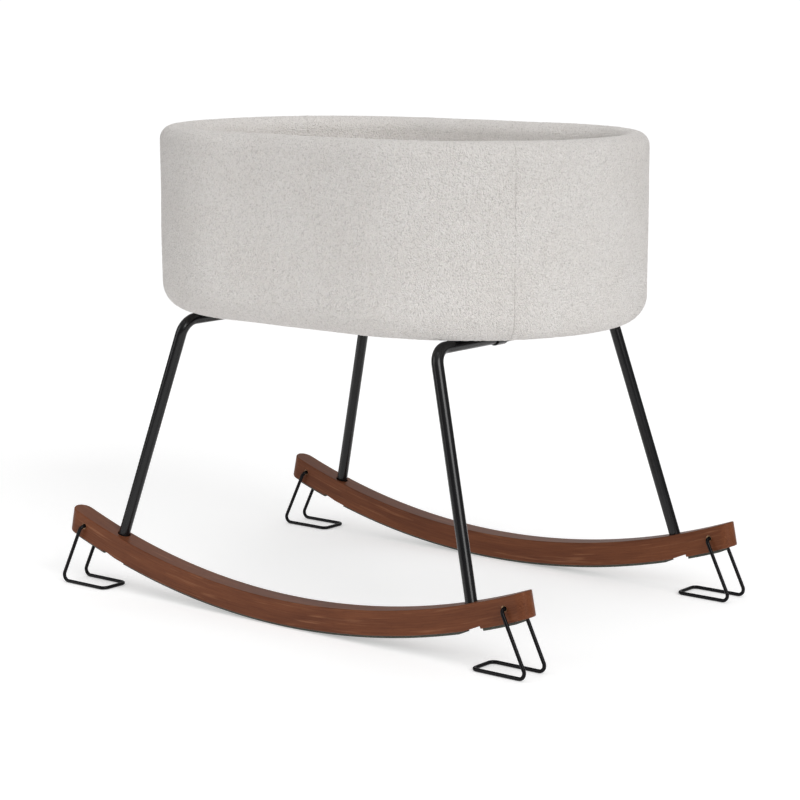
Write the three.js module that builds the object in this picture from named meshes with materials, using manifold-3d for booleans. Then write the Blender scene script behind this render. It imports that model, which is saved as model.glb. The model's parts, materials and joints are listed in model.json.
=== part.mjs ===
// A bassinet on a rocking stand.
//
// An upholstered, oval tub rests on two bent-tube leg frames. The frames stand in two curved
// wooden rockers, and four wire stops fold down beside the rocker ends to hold them still.
// Millimetres. +X runs along the rockers, +Y to the rear, +Z up, and the floor is z = 0.
import * as THREE from 'three';
import { mergeVertices } from 'three/addons/utils/BufferGeometryUtils.js';
import Module from 'manifold-3d';

const wasm = await Module();
wasm.setup();

const GAP = 0.3; // clearance between pieces that touch

// Tub
const TUB_BOTTOM = 440;
const TUB_RIM = 724;
const TUB_HALF_WIDTH = 270;
const TUB_HALF_STRAIGHT = 130; // half the straight part of each long side
const TUB_EDGE_RADIUS = 42; // rounding under the tub
const TUB_SEGMENTS = 32; // facets round the two half-round ends together
const WALL_THICK = 44; // padded wall, from outer cover to liner
const COVER_THICK = 2.2;
const PADDING_THICK = 25;
const SHELL_THICK = 6;
const SHELL_BOTTOM = 452;
const SHELL_TOP = 700;
const RIM_FOAM_HEIGHT = 50;
const COVER_INNER_DROP = 40; // how far the cover reaches down inside the rim
const UNDER_HEM = 54; // how far the cover is pulled in under the tub
const BASE_BOTTOM = 447;
const BASE_THICK = 12;
const DUST_COVER_THICK = 1.2;
const MATTRESS_THICK = 45;
const MATTRESS_EDGE_RADIUS = 14;
const MATTRESS_CLEARANCE = 5;

// Rockers
const ROCKER_PLANE = 269; // y of each rocker's middle
const ROCKER_HALF_LENGTH = 447;
const ROCKER_THICK = 34;
const ROCKER_HEIGHT = 37;
const ROCKER_CHAMFER = 1.5;
const ROCKER_END_LEAN = 12; // degrees from upright
const ROCKER_RADIUS = 1254; // underside of the wood
const STRIP_THICK = 3.8;
const STRIP_WIDTH = 24;
const MIDDLE_STRIP_TO = 327;
const NOTCH_FROM = 339; // x of the milled flat under each leg
const NOTCH_TO = 369;
const NOTCH_DEPTH = 4;
const END_STRIP_TO = 425;
const FACETS_TO_NOTCH = 13.5; // a half facet, so that one facet is centred and level

// Leg frames
const TUBE_RADIUS = 8.75;
const TUBE_WALL = 1.5;
const TUBE_SIDES = 12;
const TUBE_BEND = 26;
const CROSS_TUBE_X = 242;
const CROSS_TUBE_Z = 431;
const CROSS_CORNER_Y = 224;
const SOCKET_X = 344; // where the leg's axis meets the middle of the rocker's section
const SOCKET_RADIUS = 10.35;
const SOCKET_DEPTH = 20;
const SADDLE_Y = 74;
const SADDLE_WIDTH = 22;
const SADDLE_THICK = 2;
const SADDLE_HALF_SPAN = 29;
const SADDLE_SCREW_X = 20;

// Fasteners
const BOLT_RADIUS = 3;
const BOLT_REACH = 16; // how far the leg bolt goes up inside the tube
const BOLT_HEAD_RADIUS = 5;
const BOLT_HEAD_HEIGHT = 3.8;
const WASHER_RADIUS = 7;
const WASHER_THICK = 1.2;
const COUNTERBORE_RADIUS = 7.6;
const COUNTERBORE_DEPTH = 8;
const INSERT_LENGTH = 20;
const SCREW_RADIUS = 2.5;
const SCREW_LENGTH = 13;
const SCREW_HEAD_RADIUS = 5;
const SCREW_HEAD_HEIGHT = 3;
const HEX_KEY_RADIUS = 2.3;
const HEX_KEY_DEPTH = 2;
const RUNNING_CLEARANCE = 0.4;

// Wire stops
const WIRE_RADIUS = 2.8;
const WIRE_SIDES = 8;
const STOP_HINGE_X = 409;
const STOP_HINGE_Z = 95;
const STOP_OUTER_X = 454;
const STOP_INNER_X = 360;
const STOP_HALF_WIDTH = 24;
const PIN_BEND = 7;
const FOOT_BEND = 9;
const PIN_DEPTH = 11;
const PIN_HOLE_DEPTH = 12;

const UP = new THREE.Vector3(0, 1, 0); // the axis of a new cylinder or lathe
const BOLT_SIDES = 12;

// One facet of the rocker's arc, and the arc's centre, set so that the middle facet of the
// strip under the rocker lies level on the floor.
const FACET = Math.asin(NOTCH_FROM / ROCKER_RADIUS) / FACETS_TO_NOTCH;
const STRIP_RADIUS = ROCKER_RADIUS + GAP + STRIP_THICK;
const ARC_CENTRE_Z = STRIP_RADIUS * Math.cos(FACET / 2);

// ---- Materials ----

function material(color, roughness, metalness = 0) {
  return new THREE.MeshStandardMaterial({ color, roughness, metalness });
}

const BOUCLE = material(0xdcd9d3, 0.95);
const LINER_CLOTH = material(0xd8d5cf, 0.9);
const MATTRESS_CLOTH = material(0xeeece6, 0.9);
const FOAM = material(0xe6dfc4, 1);
const PLYWOOD = material(0xc9a87a, 0.6);
const DUST_CLOTH = material(0x2b2b2c, 0.95);
const STAINED_WOOD = material(0x694635, 0.45);
const BLACK_STEEL = material(0x1b1b1c, 0.45, 0.4);
const ZINC_STEEL = material(0xb5b7b8, 0.35, 0.9);
const FELT = material(0x3a3f3c, 0.95);

// ---- Solids ----

// A closed geometry as a solid that can be joined and cut.
function toSolid(geometry) {
  const bare = new THREE.BufferGeometry();
  bare.setAttribute('position', geometry.getAttribute('position'));
  bare.setIndex(geometry.getIndex());
  const merged = mergeVertices(bare);
  return new wasm.Manifold(new wasm.Mesh({
    numProp: 3,
    vertProperties: new Float32Array(merged.getAttribute('position').array),
    triVerts: new Uint32Array(merged.getIndex().array),
  }));
}

function toGeometry(solid) {
  const mesh = solid.getMesh();
  const geometry = new THREE.BufferGeometry();
  geometry.setAttribute('position', new THREE.BufferAttribute(mesh.vertProperties, 3));
  geometry.setIndex(new THREE.BufferAttribute(mesh.triVerts, 1));
  geometry.computeVertexNormals();
  return geometry;
}

function cut(geometry, cutters) {
  const solid = cutters.reduce((rest, cutter) => rest.subtract(toSolid(cutter)), toSolid(geometry));
  return toGeometry(solid);
}

function intersect(first, second) {
  return toGeometry(toSolid(first).intersect(toSolid(second)));
}

// Turns a piece made along +Y so that it lies along a direction, from an origin.
function aim(geometry, origin, direction) {
  const turn = new THREE.Quaternion().setFromUnitVectors(UP, direction.clone().normalize());
  return geometry.applyQuaternion(turn).translate(origin.x, origin.y, origin.z);
}

function cylinder(origin, direction, from, to, radius, sides = BOLT_SIDES) {
  const geometry = new THREE.CylinderGeometry(radius, radius, to - from, sides);
  return aim(geometry.translate(0, (from + to) / 2, 0), origin, direction);
}

// A profile of [radius, height] pairs, turned about the axis.
function lathe(profile, sides = BOLT_SIDES) {
  return new THREE.LatheGeometry(profile.map(([r, h]) => new THREE.Vector2(r, h)), sides);
}

function ring(innerRadius, outerRadius, from, to, sides = BOLT_SIDES) {
  const profile = [[innerRadius, from], [outerRadius, from], [outerRadius, to], [innerRadius, to]];
  return lathe([...profile, profile[0]], sides);
}

// ---- Bent tube and wire ----

// A path through a list of points, with one extrusion step from each point to the next.
class StationPath extends THREE.Curve {
  constructor(points) {
    super();
    this.points = points;
  }

  getUtoTmapping(u) {
    return u;
  }

  getPoint(t, target = new THREE.Vector3()) {
    const index = Math.round(t * (this.points.length - 1));
    return target.copy(this.points[index]);
  }

  getTangent(t, target = new THREE.Vector3()) {
    const last = this.points.length - 1;
    const index = Math.round(t * last);
    const here = this.points[index];
    target.set(0, 0, 0);
    if (index > 0) target.add(here.clone().sub(this.points[index - 1]).normalize());
    if (index < last) target.add(this.points[index + 1].clone().sub(here).normalize());
    return target.normalize();
  }
}

// The points of a tube bent at each corner between its ends; every corner is [point, bend radius].
function bentPoints(corners, bendSteps) {
  const points = [corners[0][0]];
  for (let i = 1; i < corners.length - 1; i += 1) {
    const [corner, radius] = corners[i];
    const back = corners[i - 1][0].clone().sub(corner).normalize();
    const ahead = corners[i + 1][0].clone().sub(corner).normalize();
    const turn = Math.PI - back.angleTo(ahead);
    const toCentre = back.clone().add(ahead).normalize();
    const centre = corner.clone().addScaledVector(toCentre, radius / Math.cos(turn / 2));
    const start = corner.clone().addScaledVector(back, radius * Math.tan(turn / 2));
    const spoke = start.sub(centre);
    const axis = back.clone().cross(spoke).normalize();
    for (let k = 0; k <= bendSteps; k += 1) {
      points.push(spoke.clone().applyAxisAngle(axis, (turn * k) / bendSteps).add(centre));
    }
  }
  points.push(corners[corners.length - 1][0]);
  return points;
}

function circlePoints(radius, sides) {
  const points = [];
  for (let i = 0; i < sides; i += 1) {
    const angle = ((i + 0.5) / sides) * 2 * Math.PI;
    points.push(new THREE.Vector2(radius * Math.cos(angle), radius * Math.sin(angle)));
  }
  return points;
}

function bentRod(corners, radius, sides, bendSteps, boreRadius = 0) {
  const section = new THREE.Shape(circlePoints(radius, sides));
  if (boreRadius > 0) section.holes.push(new THREE.Path(circlePoints(boreRadius, sides)));
  const points = bentPoints(corners, bendSteps);
  const extrudePath = new StationPath(points);
  return new THREE.ExtrudeGeometry(section, { steps: points.length - 1, extrudePath });
}

// ---- Tub ----

// A solid with an oval plan, from a closed profile of [inset, height] points. The inset is
// measured inwards from the tub's outside. A lathe is turned and its halves are moved apart,
// so the straight sides come from its two widest facets.
function oval(profile) {
  const halfFacet = Math.PI / TUB_SEGMENTS;
  const points = profile.map(([inset, z]) => (
    new THREE.Vector2(Math.max(TUB_HALF_WIDTH - inset, 0) / Math.cos(halfFacet), z)
  ));
  const geometry = new THREE.LatheGeometry(points, TUB_SEGMENTS, halfFacet);
  geometry.rotateX(Math.PI / 2);
  const position = geometry.getAttribute('position');
  for (let i = 0; i < position.count; i += 1) {
    const x = position.getX(i);
    const onAxis = Math.hypot(x, position.getY(i)) < 1;
    if (!onAxis) position.setX(i, x + Math.sign(x) * TUB_HALF_STRAIGHT);
  }
  return geometry;
}

// Points along an arc in the tub's section, by angle in degrees.
function sectionArc(insetCentre, zCentre, radius, fromDegrees, toDegrees, steps) {
  const points = [];
  for (let k = 0; k <= steps; k += 1) {
    const angle = THREE.MathUtils.degToRad(fromDegrees + ((toDegrees - fromDegrees) * k) / steps);
    points.push([insetCentre - radius * Math.cos(angle), zCentre + radius * Math.sin(angle)]);
  }
  return points;
}

// The outside of the tub's section, at a depth below the surface: in under the tub, up the
// side and over the rim.
function underEdge(depth, steps = 5) {
  const centreZ = TUB_BOTTOM + TUB_EDGE_RADIUS;
  return sectionArc(TUB_EDGE_RADIUS, centreZ, TUB_EDGE_RADIUS - depth, -90, 0, steps);
}

function overRim(depth, steps = 6) {
  const rimRadius = WALL_THICK / 2;
  return sectionArc(rimRadius, TUB_RIM - rimRadius, rimRadius - depth, 0, 180, steps);
}

const closed = (profile) => [...profile, profile[0]];
const CENTRE = TUB_HALF_WIDTH; // the inset of the tub's middle
const SHELL_OUTSIDE = COVER_THICK + PADDING_THICK + 2 * GAP;
const SHELL_INSIDE = SHELL_OUTSIDE + SHELL_THICK;
const PADDING_TOP = TUB_RIM - RIM_FOAM_HEIGHT;
const HEM_Z = TUB_RIM - COVER_INNER_DROP;
const BASE_TOP = BASE_BOTTOM + BASE_THICK;

function outerCover() {
  const inside = [[WALL_THICK - COVER_THICK, HEM_Z], ...overRim(COVER_THICK).reverse(),
    ...underEdge(COVER_THICK).reverse(), [UNDER_HEM, TUB_BOTTOM + COVER_THICK]];
  return oval(closed([[UNDER_HEM, TUB_BOTTOM], ...underEdge(0), ...overRim(0),
    [WALL_THICK, HEM_Z], ...inside]));
}

function sidePadding() {
  const depth = COVER_THICK + GAP;
  const inner = SHELL_OUTSIDE - GAP;
  return oval(closed([[UNDER_HEM, TUB_BOTTOM + depth], ...underEdge(depth), [depth, PADDING_TOP],
    [inner, PADDING_TOP], [inner, SHELL_BOTTOM - GAP], [SHELL_INSIDE, SHELL_BOTTOM - GAP],
    [SHELL_INSIDE, BASE_BOTTOM - GAP], [UNDER_HEM, BASE_BOTTOM - GAP]]));
}

function rimFoam() {
  const depth = COVER_THICK + GAP;
  const bottom = PADDING_TOP + GAP;
  return oval(closed([[depth, bottom], ...overRim(depth), [WALL_THICK - depth, HEM_Z],
    [SHELL_INSIDE + GAP, HEM_Z], [SHELL_INSIDE + GAP, SHELL_TOP + GAP],
    [SHELL_OUTSIDE - GAP, SHELL_TOP + GAP], [SHELL_OUTSIDE - GAP, bottom]]));
}

function shellWall() {
  return oval(closed([[SHELL_INSIDE, SHELL_BOTTOM], [SHELL_OUTSIDE, SHELL_BOTTOM],
    [SHELL_OUTSIDE, SHELL_TOP], [SHELL_INSIDE, SHELL_TOP]]));
}

function innerLiner() {
  const outside = SHELL_INSIDE + GAP;
  const bottom = BASE_TOP + GAP;
  const top = HEM_Z - GAP;
  return oval(closed([[WALL_THICK, bottom], [outside, bottom], [outside, top], [WALL_THICK, top]]));
}

// Screw positions under the tub, as [x, y].
function saddleScrewPlaces() {
  const places = [];
  for (const x of [-1, 1]) {
    for (const y of [-SADDLE_Y, SADDLE_Y]) {
      for (const side of [-1, 1]) places.push([x * CROSS_TUBE_X + side * SADDLE_SCREW_X, y]);
    }
  }
  return places;
}

function screwHoles(from, to) {
  const radius = SCREW_RADIUS + RUNNING_CLEARANCE;
  return saddleScrewPlaces().map(([x, y]) => (
    cylinder(new THREE.Vector3(x, y, 0), new THREE.Vector3(0, 0, 1), from, to, radius)
  ));
}

function plate(inset, bottom, top) {
  return oval([[CENTRE, bottom], [inset, bottom], [inset, top], [CENTRE, top]]);
}

function baseBoard() {
  const board = plate(SHELL_INSIDE + GAP, BASE_BOTTOM, BASE_TOP);
  return cut(board, screwHoles(BASE_BOTTOM - 1, BASE_TOP + 1));
}

const DUST_COVER_TOP = BASE_BOTTOM - GAP;
const DUST_COVER_BOTTOM = DUST_COVER_TOP - DUST_COVER_THICK;

function dustCover() {
  const cloth = plate(UNDER_HEM + 1, DUST_COVER_BOTTOM, DUST_COVER_TOP);
  return cut(cloth, screwHoles(DUST_COVER_BOTTOM - 1, DUST_COVER_TOP + 1));
}

function mattress() {
  const bottom = BASE_TOP + GAP;
  const top = bottom + MATTRESS_THICK;
  const radius = MATTRESS_EDGE_RADIUS;
  const inset = WALL_THICK + MATTRESS_CLEARANCE + radius;
  return oval([[CENTRE, bottom], ...sectionArc(inset, bottom + radius, radius, -90, 0, 3),
    ...sectionArc(inset, top - radius, radius, 0, 90, 3), [CENTRE, top]]);
}

// ---- Leg frames ----

const socketMiddle = new THREE.Vector3(
  SOCKET_X,
  -ROCKER_PLANE,
  ARC_CENTRE_Z - Math.sqrt((ROCKER_RADIUS - ROCKER_HEIGHT / 2) ** 2 - SOCKET_X ** 2),
);
const crossCorner = new THREE.Vector3(CROSS_TUBE_X, -CROSS_CORNER_Y, CROSS_TUBE_Z);
const legAxis = crossCorner.clone().sub(socketMiddle).normalize();
const socketFloor = ROCKER_HEIGHT / 2 - SOCKET_DEPTH; // along the leg's axis, from socketMiddle
const boltSeat = COUNTERBORE_DEPTH - ROCKER_HEIGHT / 2;
const tubeEnd = socketFloor + GAP;

const mirrorY = (point) => new THREE.Vector3(point.x, -point.y, point.z);

// The frame at the +X end: a leg, the cross tube under the tub, and the other leg.
function legFrame() {
  const foot = socketMiddle.clone().addScaledVector(legAxis, tubeEnd);
  const corners = [[foot, 0], [crossCorner, TUBE_BEND], [mirrorY(crossCorner), TUBE_BEND],
    [mirrorY(foot), 0]];
  return bentRod(corners, TUBE_RADIUS, TUBE_SIDES, 6, TUBE_RADIUS - TUBE_WALL);
}

// A strap under the cross tube, with an ear on each side screwed up to the base board. Its
// origin is on the tube's axis, and the strap's width runs along Y.
function saddle() {
  const earTop = DUST_COVER_BOTTOM - GAP - CROSS_TUBE_Z;
  const inside = TUBE_RADIUS + GAP;
  const outside = inside + SADDLE_THICK;
  const outline = new THREE.Shape();
  outline.moveTo(-SADDLE_HALF_SPAN, earTop);
  outline.lineTo(-SADDLE_HALF_SPAN, earTop - SADDLE_THICK);
  outline.lineTo(-outside, earTop - SADDLE_THICK);
  outline.lineTo(-outside, 0);
  outline.absarc(0, 0, outside, Math.PI, 2 * Math.PI, false);
  outline.lineTo(outside, earTop - SADDLE_THICK);
  outline.lineTo(SADDLE_HALF_SPAN, earTop - SADDLE_THICK);
  outline.lineTo(SADDLE_HALF_SPAN, earTop);
  outline.lineTo(inside, earTop);
  outline.lineTo(inside, 0);
  outline.absarc(0, 0, inside, 2 * Math.PI, Math.PI, true);
  outline.lineTo(-inside, earTop);
  outline.closePath();
  const strap = new THREE.ExtrudeGeometry(outline, {
    depth: SADDLE_WIDTH, bevelEnabled: false, curveSegments: 6,
  });
  strap.translate(0, 0, -SADDLE_WIDTH / 2).rotateX(Math.PI / 2);
  const up = new THREE.Vector3(0, 0, 1);
  const radius = SCREW_RADIUS + RUNNING_CLEARANCE;
  const holes = [-1, 1].map((side) => (
    cylinder(new THREE.Vector3(side * SADDLE_SCREW_X, 0, 0), up, 0, earTop + 1, radius)
  ));
  return cut(strap, holes);
}

// ---- Fasteners ----

// A screw with a round head and a hexagon socket. The underside of its head is at the origin
// and its shank runs up +Y.
function headedScrew(shankRadius, shankLength, headRadius, headHeight) {
  const blank = lathe([[0, -headHeight], [headRadius * 0.8, -headHeight],
    [headRadius, -headHeight * 0.5], [headRadius, 0], [shankRadius, 0],
    [shankRadius, shankLength - 1], [shankRadius - 1, shankLength], [0, shankLength]]);
  const origin = new THREE.Vector3(0, -headHeight, 0);
  return cut(blank, [cylinder(origin, UP, -1, HEX_KEY_DEPTH, HEX_KEY_RADIUS, 6)]);
}

function saddleScrew() {
  const screw = headedScrew(SCREW_RADIUS, SCREW_LENGTH, SCREW_HEAD_RADIUS, SCREW_HEAD_HEIGHT);
  return screw.rotateX(Math.PI / 2);
}

const BOLT_HEAD_TOP = boltSeat - WASHER_THICK - 2 * GAP;

function legBolt() {
  const length = BOLT_REACH - BOLT_HEAD_TOP;
  return headedScrew(BOLT_RADIUS, length, BOLT_HEAD_RADIUS, BOLT_HEAD_HEIGHT);
}

function legWasher() {
  return ring(BOLT_RADIUS + RUNNING_CLEARANCE, WASHER_RADIUS, 0, WASHER_THICK);
}

function tubeInsert() {
  const outerRadius = (TUBE_RADIUS - TUBE_WALL) * Math.cos(Math.PI / TUBE_SIDES) - GAP;
  return ring(BOLT_RADIUS + RUNNING_CLEARANCE, outerRadius, 0, INSERT_LENGTH, TUBE_SIDES);
}

// ---- Rockers ----

// Angles along the rocker's arc from one to another, with a point at each facet's end.
function arcAngles(from, to) {
  const angles = [from];
  const slack = FACET / 100;
  for (let k = Math.ceil(from / FACET - 0.5); (k + 0.5) * FACET < to - slack; k += 1) {
    if ((k + 0.5) * FACET > from + slack) angles.push((k + 0.5) * FACET);
  }
  return [...angles, to];
}

function onArc(radius, angle) {
  return new THREE.Vector2(radius * Math.sin(angle), ARC_CENTRE_Z - radius * Math.cos(angle));
}

const angleAt = (x) => Math.asin(x / ROCKER_RADIUS);

// A curved bar between two radii and two angles, of a width along Y, centred on the XZ plane.
function arcBar(innerRadius, outerRadius, from, to, width, chamfer = 0) {
  const angles = arcAngles(from, to);
  const outline = new THREE.Shape([
    ...angles.map((angle) => onArc(outerRadius - chamfer, angle)),
    ...angles.reverse().map((angle) => onArc(innerRadius + chamfer, angle)),
  ]);
  const bar = new THREE.ExtrudeGeometry(outline, {
    depth: width - 2 * chamfer,
    bevelEnabled: chamfer > 0,
    bevelThickness: chamfer,
    bevelSize: chamfer,
    bevelSegments: 1,
  });
  return bar.translate(0, 0, chamfer - width / 2).rotateX(Math.PI / 2);
}

// What the rocker keeps at one end: a long bar, half-round in plan, whose round end leans
// outwards at the bottom. It reaches well past the rocker's other end.
function roundEnd(sign) {
  const radius = ROCKER_THICK / 2;
  const length = 3 * ROCKER_HALF_LENGTH;
  const outline = new THREE.Shape();
  outline.moveTo(-length, -radius);
  outline.absarc(-radius, 0, radius, -Math.PI / 2, Math.PI / 2, false);
  outline.lineTo(-length, radius);
  outline.closePath();
  const bar = new THREE.ExtrudeGeometry(outline, {
    depth: 2 * length, bevelEnabled: false, curveSegments: 6,
  });
  const tip = onArc(ROCKER_RADIUS, angleAt(ROCKER_HALF_LENGTH));
  bar.translate(0, 0, -length).rotateY(-THREE.MathUtils.degToRad(ROCKER_END_LEAN));
  bar.translate(tip.x, 0, tip.y);
  return sign > 0 ? bar : bar.rotateZ(Math.PI);
}

// A wedge across the underside, with its step at the outer end.
function notchCutter(sign) {
  const inner = onArc(ROCKER_RADIUS, angleAt(NOTCH_FROM));
  const step = onArc(ROCKER_RADIUS - NOTCH_DEPTH, angleAt(NOTCH_TO));
  const stepBelow = onArc(ROCKER_RADIUS + NOTCH_DEPTH, angleAt(NOTCH_TO));
  const innerBelow = onArc(ROCKER_RADIUS + NOTCH_DEPTH, angleAt(NOTCH_FROM));
  const outline = new THREE.Shape([inner, innerBelow, stepBelow, step]);
  const width = ROCKER_THICK + 2;
  const wedge = new THREE.ExtrudeGeometry(outline, { depth: width, bevelEnabled: false });
  wedge.translate(0, 0, -width / 2).rotateX(Math.PI / 2);
  return sign > 0 ? wedge : wedge.rotateZ(Math.PI);
}

// The holes for one leg: the tube's socket, the bolt's bore and its counterbore.
function legHoles(sign) {
  const middle = new THREE.Vector3(sign * socketMiddle.x, 0, socketMiddle.z);
  const axis = new THREE.Vector3(sign * legAxis.x, legAxis.y, legAxis.z);
  const height = ROCKER_HEIGHT;
  return [
    cylinder(middle, axis, socketFloor, height, SOCKET_RADIUS),
    cylinder(middle, axis, boltSeat - 1, socketFloor + 1, BOLT_RADIUS + RUNNING_CLEARANCE),
    cylinder(middle, axis, -height, boltSeat, COUNTERBORE_RADIUS),
  ];
}

function pinHoles() {
  const radius = WIRE_RADIUS + RUNNING_CLEARANCE;
  const holes = [];
  for (const x of [-STOP_HINGE_X, STOP_HINGE_X]) {
    for (const side of [-1, 1]) {
      const face = new THREE.Vector3(x, (side * ROCKER_THICK) / 2, STOP_HINGE_Z);
      const inward = new THREE.Vector3(0, -side, 0);
      holes.push(cylinder(face, inward, -1, PIN_HOLE_DEPTH, radius));
    }
  }
  return holes;
}

// The front rocker, centred on the XZ plane. Its leg sockets lean towards +Y.
function rocker() {
  const reach = angleAt(ROCKER_HALF_LENGTH) * 1.05;
  const inner = ROCKER_RADIUS - ROCKER_HEIGHT;
  const bar = arcBar(inner, ROCKER_RADIUS, -reach, reach, ROCKER_THICK, ROCKER_CHAMFER);
  const blank = intersect(intersect(bar, roundEnd(1)), roundEnd(-1));
  const ends = [-1, 1].flatMap((sign) => [notchCutter(sign), ...legHoles(sign)]);
  return cut(blank, [...ends, ...pinHoles()]);
}

function strip(from, to) {
  return arcBar(ROCKER_RADIUS + GAP, STRIP_RADIUS, angleAt(from), angleAt(to), STRIP_WIDTH);
}

// ---- Wire stops ----

// One stop at the +X end, about the rocker's middle plane: a pin into each face of the rocker,
// two uprights, and a foot that lies on the floor.
function wireStop() {
  const pinEnd = ROCKER_THICK / 2 - PIN_DEPTH;
  const side = (sign) => [
    [new THREE.Vector3(STOP_HINGE_X, sign * pinEnd, STOP_HINGE_Z), 0],
    [new THREE.Vector3(STOP_HINGE_X, sign * STOP_HALF_WIDTH, STOP_HINGE_Z), PIN_BEND],
    [new THREE.Vector3(STOP_OUTER_X, sign * STOP_HALF_WIDTH, WIRE_RADIUS), FOOT_BEND],
    [new THREE.Vector3(STOP_INNER_X, sign * STOP_HALF_WIDTH, WIRE_RADIUS), FOOT_BEND],
  ];
  return bentRod([...side(-1), ...side(1).reverse()], WIRE_RADIUS, WIRE_SIDES, 3);
}

// ---- Assembly ----

const bassinet = new THREE.Group();

function add(parent, name, geometry, skin) {
  const mesh = new THREE.Mesh(geometry, skin);
  mesh.name = name;
  parent.add(mesh);
  return mesh;
}

function addTub() {
  add(bassinet, 'outer_cover', outerCover(), BOUCLE);
  add(bassinet, 'side_padding', sidePadding(), FOAM);
  add(bassinet, 'rim_foam', rimFoam(), FOAM);
  add(bassinet, 'shell_wall', shellWall(), PLYWOOD);
  add(bassinet, 'inner_liner', innerLiner(), LINER_CLOTH);
  add(bassinet, 'base_board', baseBoard(), PLYWOOD);
  add(bassinet, 'dust_cover', dustCover(), DUST_CLOTH);
  add(bassinet, 'mattress', mattress(), MATTRESS_CLOTH);
}

// A leg frame with its two saddles and their screws. The left one is the right one, turned.
function addLegFrame(end) {
  const group = new THREE.Group();
  group.rotation.z = end === 'right' ? 0 : Math.PI;
  bassinet.add(group);
  add(group, `leg_frame_${end}`, legFrame(), BLACK_STEEL);
  const strap = saddle();
  const screw = saddleScrew();
  const headTop = DUST_COVER_BOTTOM - SADDLE_THICK - 2 * GAP;
  for (const sign of [-1, 1]) {
    const place = (sign < 0) === (end === 'right') ? 'front' : 'rear';
    const mesh = add(group, `saddle_${end}_${place}`, strap, BLACK_STEEL);
    mesh.position.set(CROSS_TUBE_X, sign * SADDLE_Y, CROSS_TUBE_Z);
    for (const side of [-1, 1]) {
      const name = `saddle_screw_${end}_${place}_${side < 0 ? 'inner' : 'outer'}`;
      const fixing = add(group, name, screw, ZINC_STEEL);
      fixing.position.set(CROSS_TUBE_X + side * SADDLE_SCREW_X, sign * SADDLE_Y, headTop);
    }
  }
}

// A rocker with its strips, leg fixings and wire stops. The rear one is the front one, turned.
function addRocker(row) {
  const group = new THREE.Group();
  group.rotation.z = row === 'front' ? 0 : Math.PI;
  bassinet.add(group);
  const onRocker = new THREE.Group();
  onRocker.position.y = -ROCKER_PLANE;
  group.add(onRocker);
  add(onRocker, `rocker_${row}`, rocker(), STAINED_WOOD);
  add(onRocker, `strip_${row}_middle`, strip(-MIDDLE_STRIP_TO, MIDDLE_STRIP_TO), FELT);
  for (const sign of [-1, 1]) {
    const end = (sign > 0) === (row === 'front') ? 'right' : 'left';
    const facing = new THREE.Group();
    facing.rotation.z = sign > 0 ? 0 : Math.PI;
    onRocker.add(facing);
    add(facing, `strip_${row}_${end}`, strip(NOTCH_TO, END_STRIP_TO), FELT);
    add(facing, `wire_stop_${row}_${end}`, wireStop(), BLACK_STEEL);
    addLegFixings(group, sign, `${row}_${end}`);
  }
}

function addLegFixings(group, sign, place) {
  const leg = new THREE.Group();
  const axis = new THREE.Vector3(sign * legAxis.x, legAxis.y, legAxis.z);
  leg.position.set(sign * socketMiddle.x, socketMiddle.y, socketMiddle.z);
  leg.quaternion.setFromUnitVectors(UP, axis);
  group.add(leg);
  const washer = add(leg, `leg_washer_${place}`, legWasher(), ZINC_STEEL);
  washer.position.y = boltSeat - GAP - WASHER_THICK;
  const bolt = add(leg, `leg_bolt_${place}`, legBolt(), ZINC_STEEL);
  bolt.position.y = BOLT_HEAD_TOP;
  const insert = add(leg, `tube_insert_${place}`, tubeInsert(), ZINC_STEEL);
  insert.position.y = tubeEnd + GAP;
  insert.rotation.y = Math.PI / TUBE_SIDES;
}

addTub();
for (const end of ['left', 'right']) addLegFrame(end);
for (const row of ['front', 'rear']) addRocker(row);

export default bassinet;
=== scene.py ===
"""A bassinet on a rocking stand: its finished surfaces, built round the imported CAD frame.

Metres. +X runs along the rockers, +Y to the rear, +Z up, and the floor is z = 0.
"""

import json
import math

import bpy
import numpy as np
from mathutils import Matrix, Quaternion, Vector, noise


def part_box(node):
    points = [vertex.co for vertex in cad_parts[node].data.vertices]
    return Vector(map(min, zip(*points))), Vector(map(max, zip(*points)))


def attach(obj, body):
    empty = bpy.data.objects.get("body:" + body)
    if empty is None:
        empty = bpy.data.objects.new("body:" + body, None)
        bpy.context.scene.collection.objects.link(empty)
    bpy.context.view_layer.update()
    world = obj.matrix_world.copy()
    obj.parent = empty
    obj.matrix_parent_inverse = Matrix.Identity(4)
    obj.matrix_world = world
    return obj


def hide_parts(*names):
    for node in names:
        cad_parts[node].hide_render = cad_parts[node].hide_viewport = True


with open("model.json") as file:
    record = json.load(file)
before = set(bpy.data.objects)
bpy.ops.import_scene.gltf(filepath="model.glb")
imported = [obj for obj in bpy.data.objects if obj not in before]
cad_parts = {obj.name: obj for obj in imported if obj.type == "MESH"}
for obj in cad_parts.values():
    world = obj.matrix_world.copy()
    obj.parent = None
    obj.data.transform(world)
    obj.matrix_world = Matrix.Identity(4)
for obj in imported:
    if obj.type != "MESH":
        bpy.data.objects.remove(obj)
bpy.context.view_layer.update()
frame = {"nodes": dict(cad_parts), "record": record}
noise.seed_set(1)  # so that noise_vector is the same each run

ROOT = "stand_and_tub"
MM = 0.001
ROWS = {"front": -1, "rear": 1}
ENDS = {"left": -1, "right": 1}
GAP = 0.3 * MM  # between pieces that touch

# ---- Sizes ----

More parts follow.
